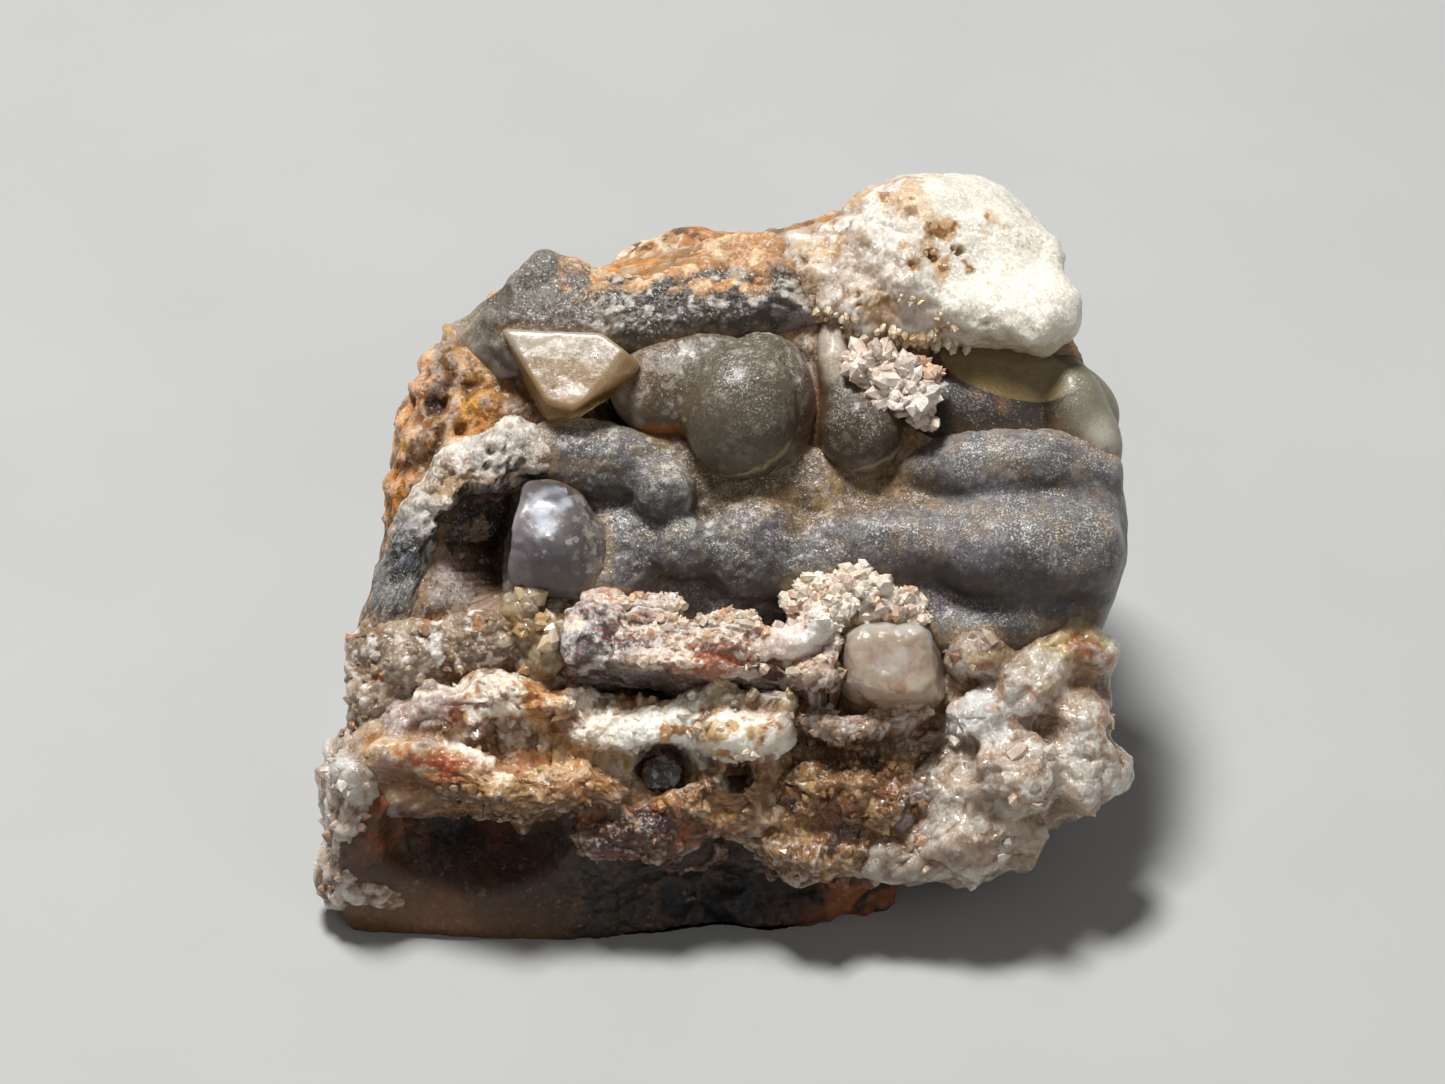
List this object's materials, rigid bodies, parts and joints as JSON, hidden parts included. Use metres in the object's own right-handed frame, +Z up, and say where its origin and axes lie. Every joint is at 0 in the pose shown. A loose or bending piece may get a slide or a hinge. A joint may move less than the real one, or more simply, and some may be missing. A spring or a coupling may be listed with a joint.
{
  "type": "fire agate specimen",
  "caption": "Chipped chalcedony stone with botryoidal agate rolls and drops on a sloping front, a white crust cap, a druzy ledge and quartz knobs; rests on a flat foot.",
  "frame": {"origin": "middle of the flat foot, on the plane that the stone rests on", "axes": "+X to the right along the stone's width, +Y to the back, +Z up"},
  "size_m": [0.0395, 0.0315, 0.0287],
  "materials": {
    "matrix": "iron-stained chalcedony rock, rusty ochre with dark pits, dull, slightly rough",
    "agate": "translucent violet-grey to olive-grey chalcedony, waxy gloss, fine white sparkle on the tops",
    "crust": "cream-white fine-grained quartz crust with honey stains and brown pits",
    "ledge": "layered purple-brown, pink and white quartz with orange iron streaks",
    "quartz": "greyish-beige frosted translucent quartz with bright glints",
    "clear_quartz": "clear to milky glassy quartz",
    "iron_crust": "platy red-brown to orange iron oxide with dark patches"
  },
  "bodies": {
    "root": {"fire_agate_specimen": "matrix"}
  },
  "joints": []
}
